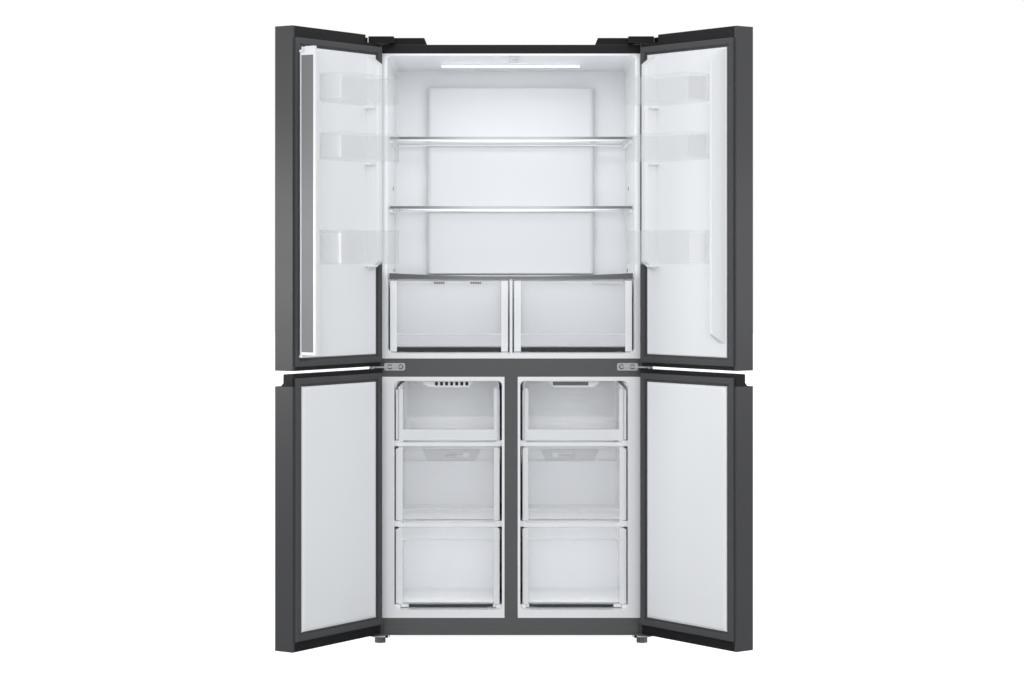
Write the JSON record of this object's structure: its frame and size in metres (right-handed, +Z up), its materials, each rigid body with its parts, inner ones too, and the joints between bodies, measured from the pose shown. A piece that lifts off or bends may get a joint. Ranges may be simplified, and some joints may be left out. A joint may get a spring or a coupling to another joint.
{
  "type": "multi-door refrigerator",
  "caption": "Multi-door refrigerator standing open: fridge with glass shelves, crispers and door bins above, freezer with pull-out drawers below, folding mullion between the upper doors.",
  "frame": {"origin": "on the floor under the middle of the part as it stands with its doors open", "axes": "+X to the right seen from the front, +Y from the front to the back, +Z up"},
  "size_m": [1.3404, 1.066, 1.787],
  "materials": {
    "body_paint": "satin grey paint",
    "rail_paint": "satin dark grey paint",
    "plain_steel": "galvanised sheet",
    "foam": "rigid foam",
    "white_liner": "satin white",
    "flap_grey": "satin grey",
    "light_lens": "opal lens",
    "shelf_trim": "satin white",
    "shelf_glass": "clear toughened glass",
    "clear_plastic": "frosted clear plastic",
    "drawer_plastic": "milky white plastic",
    "black_plastic": "fine texture",
    "gasket_rubber": "soft matte",
    "hinge_steel": "bright steel",
    "compressor_black": "gloss black paint",
    "coil_metal": "bare metal"
  },
  "bodies": {
    "cabinet": {"cabinet_shell": "body_paint", "back_panel": "plain_steel", "base_plate": "plain_steel", "foam_insulation": "foam", "fridge_liner": "white_liner", "freezer_liners": "white_liner", "top_rail": "rail_paint", "centre_rail": "rail_paint", "base_rail": "rail_paint", "air_duct_cover": "white_liner", "ceiling_light": "light_lens", "shelf_glass": "shelf_glass", "shelf_frames": "shelf_trim", "freezer_ducts": "white_liner", "evaporator": "coil_metal", "compressor": "compressor_black", "condenser": "coil_metal", "drip_tray": "black_plastic", "machine_room_cover": "plain_steel", "fan_motors": "black_plastic", "top_hinges": "hinge_steel", "top_hinge_covers": "black_plastic", "centre_hinges": "hinge_steel", "bottom_hinges": "hinge_steel", "mullion_guide": "white_liner", "roller_brackets": "plain_steel"},
    "upper_left_door": {"upper_left_door_skin": "body_paint", "upper_left_door_caps": "black_plastic", "upper_left_door_liner": "white_liner", "upper_left_door_gasket": "gasket_rubber", "upper_left_door_bins": "clear_plastic"},
    "upper_right_door": {"upper_right_door_skin": "body_paint", "upper_right_door_caps": "black_plastic", "upper_right_door_liner": "white_liner", "upper_right_door_gasket": "gasket_rubber", "upper_right_door_bins": "clear_plastic"},
    "lower_left_door": {"lower_left_door_skin": "body_paint", "lower_left_door_caps": "black_plastic", "lower_left_door_liner": "white_liner", "lower_left_door_gasket": "gasket_rubber"},
    "lower_right_door": {"lower_right_door_skin": "body_paint", "lower_right_door_caps": "black_plastic", "lower_right_door_liner": "white_liner", "lower_right_door_gasket": "gasket_rubber"},
    "mullion_flap": {"mullion_flap": "white_liner", "mullion_flap_plate": "flap_grey"},
    "evaporator_fan": {"evaporator_fan": "black_plastic"},
    "condenser_fan": {"condenser_fan": "black_plastic"},
    "rear_roller_left": {"rear_roller_left": "black_plastic"},
    "front_foot_left": {"front_foot_left": "black_plastic"},
    "crisper_left": {"crisper_left": "clear_plastic"},
    "top_freezer_drawer_left": {"top_freezer_drawer_left": "drawer_plastic"},
    "middle_freezer_drawer_left": {"middle_freezer_drawer_left": "drawer_plastic"},
    "bottom_freezer_drawer_left": {"bottom_freezer_drawer_left": "drawer_plastic"},
    "rear_roller_right": {"rear_roller_right": "black_plastic"},
    "front_foot_right": {"front_foot_right": "black_plastic"},
    "crisper_right": {"crisper_right": "clear_plastic"},
    "top_freezer_drawer_right": {"top_freezer_drawer_right": "drawer_plastic"},
    "middle_freezer_drawer_right": {"middle_freezer_drawer_right": "drawer_plastic"},
    "bottom_freezer_drawer_right": {"bottom_freezer_drawer_right": "drawer_plastic"}
  },
  "joints": [
    {"name": "upper_left_door_hinge", "type": "hinge", "parent": "cabinet", "child": "upper_left_door", "pos_m": [-0.4055, -0.16043, 0.8185], "axis": [0, 0, -1], "range_deg": [-124, 6]},
    {"name": "upper_right_door_hinge", "type": "hinge", "parent": "cabinet", "child": "upper_right_door", "pos_m": [0.4055, -0.16043, 0.8185], "axis": [0, 0, 1], "range_deg": [-127, 3]},
    {"name": "lower_left_door_hinge", "type": "hinge", "parent": "cabinet", "child": "lower_left_door", "pos_m": [-0.4055, -0.16043, 0.8185], "axis": [0, 0, -1], "range_deg": [-124, 6]},
    {"name": "lower_right_door_hinge", "type": "hinge", "parent": "cabinet", "child": "lower_right_door", "pos_m": [0.4055, -0.16043, 0.8185], "axis": [0, 0, 1], "range_deg": [-127, 3]},
    {"name": "mullion_flap_fold", "type": "hinge", "parent": "upper_left_door", "child": "mullion_flap", "pos_m": [-0.58539, -0.49867, 0.868], "axis": [0, 0, 1], "range_deg": [-90, 0]},
    {"name": "crisper_left_slide", "type": "slide", "parent": "cabinet", "child": "crisper_left", "axis": [0, -1, 0], "range_m": [0, 0.3]},
    {"name": "top_freezer_drawer_left_slide", "type": "slide", "parent": "cabinet", "child": "top_freezer_drawer_left", "axis": [0, -1, 0], "range_m": [0, 0.3]},
    {"name": "middle_freezer_drawer_left_slide", "type": "slide", "parent": "cabinet", "child": "middle_freezer_drawer_left", "axis": [0, -1, 0], "range_m": [0, 0.3]},
    {"name": "bottom_freezer_drawer_left_slide", "type": "slide", "parent": "cabinet", "child": "bottom_freezer_drawer_left", "axis": [0, -1, 0], "range_m": [0, 0.24]},
    {"name": "crisper_right_slide", "type": "slide", "parent": "cabinet", "child": "crisper_right", "axis": [0, -1, 0], "range_m": [0, 0.3]},
    {"name": "top_freezer_drawer_right_slide", "type": "slide", "parent": "cabinet", "child": "top_freezer_drawer_right", "axis": [0, -1, 0], "range_m": [0, 0.3]},
    {"name": "middle_freezer_drawer_right_slide", "type": "slide", "parent": "cabinet", "child": "middle_freezer_drawer_right", "axis": [0, -1, 0], "range_m": [0, 0.3]},
    {"name": "bottom_freezer_drawer_right_slide", "type": "slide", "parent": "cabinet", "child": "bottom_freezer_drawer_right", "axis": [0, -1, 0], "range_m": [0, 0.24]},
    {"name": "evaporator_fan_spin", "type": "hinge", "parent": "cabinet", "child": "evaporator_fan", "pos_m": [-0.186, 0.41457, 0.523], "axis": [0, -1, 0], "continuous": true},
    {"name": "condenser_fan_spin", "type": "hinge", "parent": "cabinet", "child": "condenser_fan", "pos_m": [-0.122, 0.42357, 0.1152], "axis": [-1, 0, 0], "continuous": true},
    {"name": "rear_roller_left_spin", "type": "hinge", "parent": "cabinet", "child": "rear_roller_left", "pos_m": [-0.3475, 0.47357, 0.013], "axis": [1, 0, 0], "continuous": true},
    {"name": "front_foot_left_spin", "type": "hinge", "parent": "cabinet", "child": "front_foot_left", "pos_m": [-0.388, -0.08143, 0], "axis": [0, 0, 1], "continuous": true},
    {"name": "rear_roller_right_spin", "type": "hinge", "parent": "cabinet", "child": "rear_roller_right", "pos_m": [0.3475, 0.47357, 0.013], "axis": [1, 0, 0], "continuous": true},
    {"name": "front_foot_right_spin", "type": "hinge", "parent": "cabinet", "child": "front_foot_right", "pos_m": [0.388, -0.08143, 0], "axis": [0, 0, 1], "continuous": true}
  ]
}
